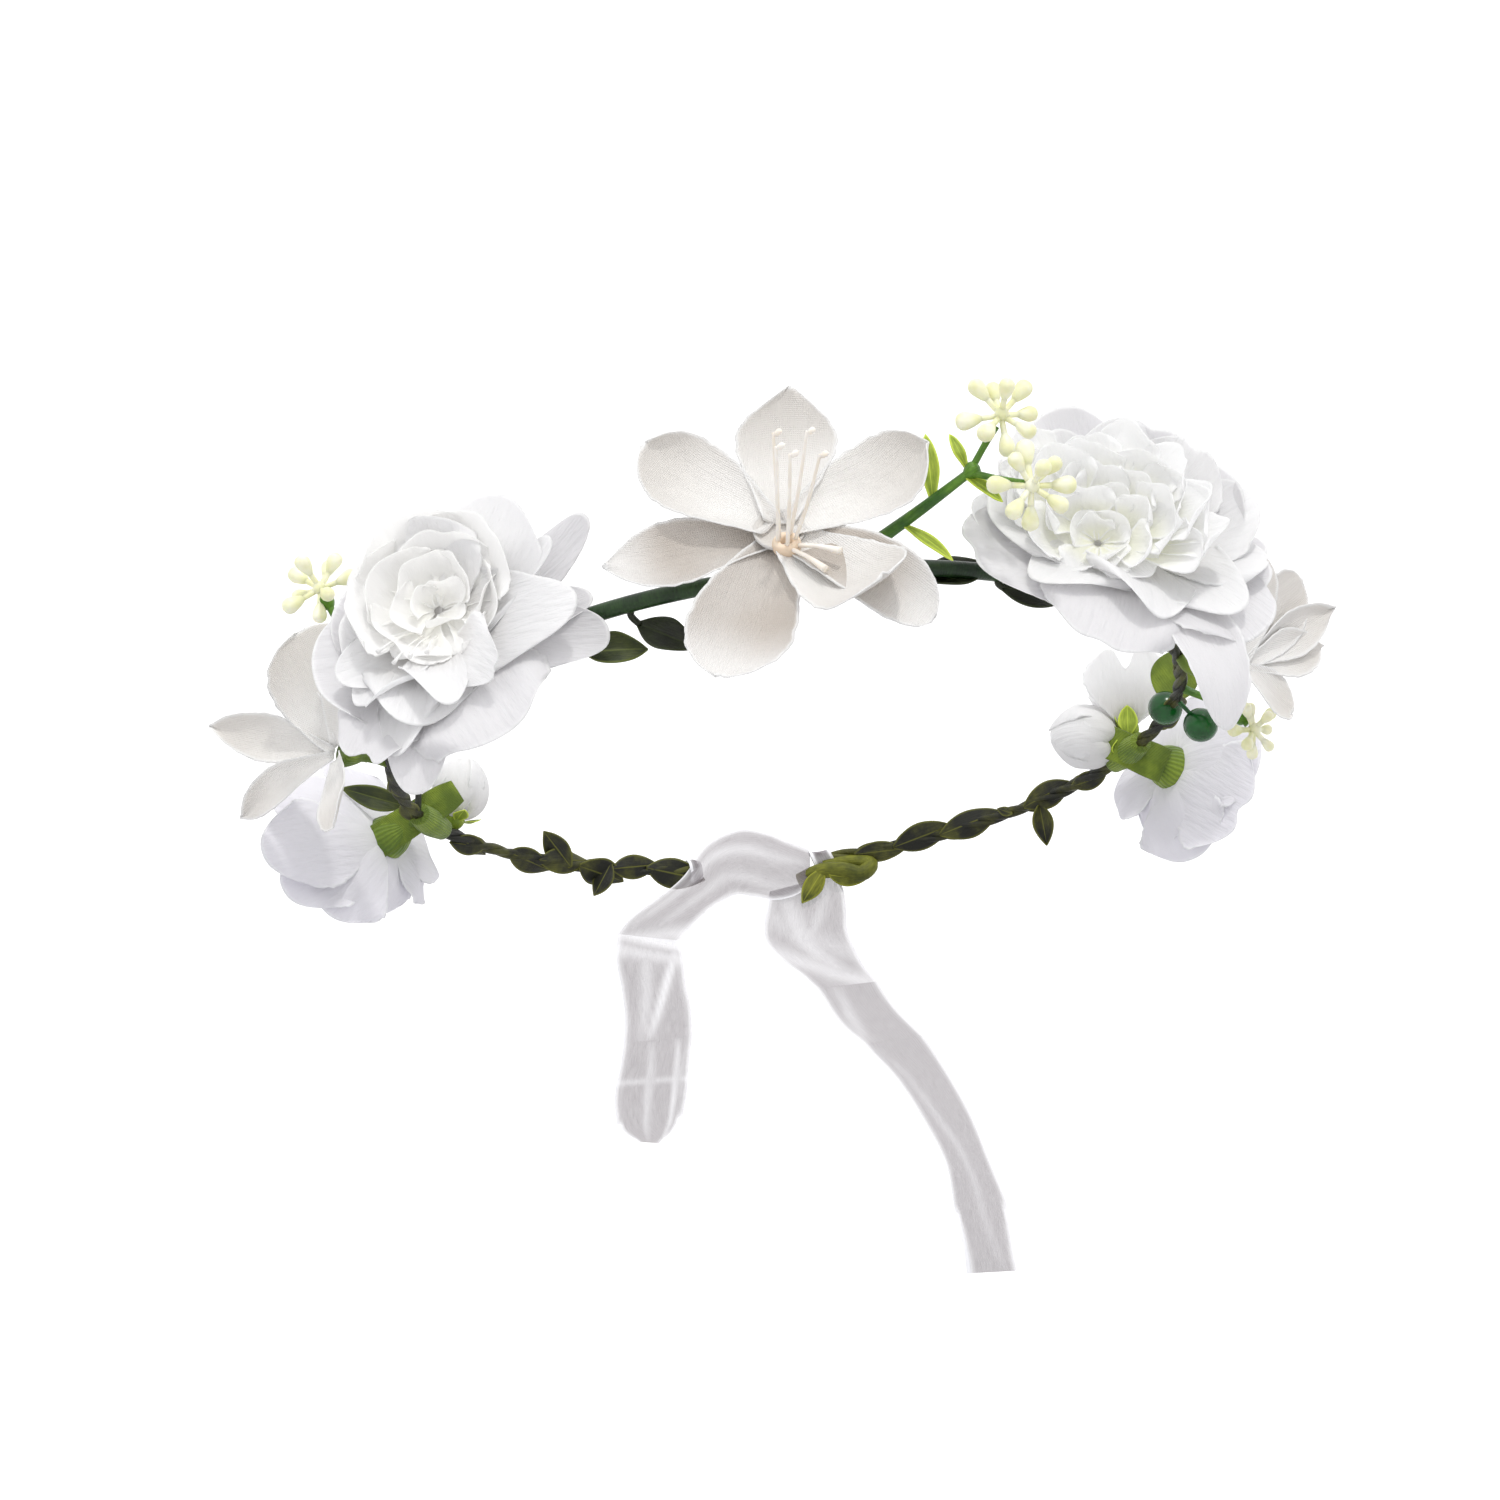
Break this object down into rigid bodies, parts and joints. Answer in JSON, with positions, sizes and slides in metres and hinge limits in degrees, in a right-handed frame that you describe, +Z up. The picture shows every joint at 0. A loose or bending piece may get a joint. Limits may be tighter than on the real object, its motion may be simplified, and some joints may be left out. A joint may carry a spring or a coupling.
{
  "type": "flower crown",
  "caption": "Wire-vine flower crown with fabric lilies, full blossoms, leaves and plastic sprigs, tied at the back with a sheer ribbon whose ends hang free.",
  "frame": {"origin": "centre of the head opening, in the plane of the vine ring", "axes": "+Z up out of the head opening, -Y towards the front of the head where the large flowers are, +Y towards the tie at the back, +X to the right seen from the front"},
  "size_m": [0.2673, 0.2335, 0.1684],
  "materials": {
    "paper": "matt olive paper leaf vine, twisted",
    "stem": "dark green moulded stem, slight gloss",
    "wire": "plain annealed iron wire, inside the paper",
    "tape": "lime-olive crepe florist's tape, ribbed",
    "leaf": "dark olive printed fabric leaf, slight sheen",
    "lime": "lime-green calyx, wrapped in florist's tape",
    "ivory": "ivory velvety fabric, clean cut edges",
    "white": "cool white woven fabric petals",
    "core": "warm white rolled fabric",
    "hub": "pale pinkish-cream ring",
    "filament": "cream stamens with small oval tips",
    "sprig": "cream-yellow moulded buds",
    "bead": "deep green berry",
    "organza": "sheer white organza ribbon with bright selvages"
  },
  "bodies": {
    "wreath": {"vine_front": "stem", "vine_left": "paper", "vine_right": "paper", "vine_wire": "wire", "tape_left_joint": "tape", "tape_right_joint": "tape", "tape_rear_left": "tape", "tape_rear_right": "tape", "rose_calyx": "lime", "rose_outer_petals": "white", "rose_middle_petals": "white", "rose_inner_petals": "white", "rose_core": "core", "peony_calyx": "lime", "peony_outer_petals": "white", "peony_middle_petals": "white", "peony_inner_petals": "white", "peony_core": "core", "lily_calyx": "lime", "lily_outer_petals": "ivory", "lily_inner_petals": "ivory", "lily_hub": "hub", "lily_stamens": "filament", "side_lily_left_calyx": "lime", "side_lily_left_petals": "ivory", "side_lily_right_calyx": "lime", "side_lily_right_petals": "ivory", "rear_left_calyx": "lime", "rear_left_petals": "white", "rear_left_core": "core", "rear_right_calyx": "lime", "rear_right_petals": "white", "rear_right_core": "core", "bud_rear_left_cup": "lime", "bud_rear_left": "white", "bud_inner_upper_cup": "lime", "bud_inner_upper": "white", "bud_inner_lower_cup": "lime", "bud_inner_lower": "white", "sprig_left_stem": "stem", "sprig_left_buds_1": "sprig", "sprig_front_stem": "stem", "sprig_front_buds_1": "sprig", "sprig_front_buds_2": "sprig", "sprig_right_stem": "stem", "sprig_right_buds_1": "sprig", "bead_upper": "bead", "bead_lower": "bead", "leaf_front_left": "leaf", "leaf_front_dark": "leaf", "leaf_front_right": "leaf", "leaf_side_right": "leaf", "leaf_rear_left": "leaf", "leaf_hanging": "leaf", "ribbon_tie": "organza"},
    "tail_left_upper": {"tail_left_upper": "organza"},
    "tail_left_lower": {"tail_left_lower": "organza"},
    "tail_right_upper": {"tail_right_upper": "organza"},
    "tail_right_lower": {"tail_right_lower": "organza"}
  },
  "joints": [
    {"name": "tail_left_swing", "type": "hinge", "parent": "wreath", "child": "tail_left_upper", "pos_m": [-0.045, 0.084, -0.019], "axis": [1, 0, 0], "range_deg": [-30, 45]},
    {"name": "tail_left_fold", "type": "hinge", "parent": "tail_left_upper", "child": "tail_left_lower", "pos_m": [-0.044, 0.084, -0.056], "axis": [1, 0, 0], "range_deg": [-40, 60]},
    {"name": "tail_right_swing", "type": "hinge", "parent": "wreath", "child": "tail_right_upper", "pos_m": [0.003, 0.09, -0.037], "axis": [1, 0, 0], "range_deg": [-30, 45]},
    {"name": "tail_right_fold", "type": "hinge", "parent": "tail_right_upper", "child": "tail_right_lower", "pos_m": [0.018, 0.09, -0.068], "axis": [1, 0, 0], "range_deg": [-40, 60]}
  ]
}
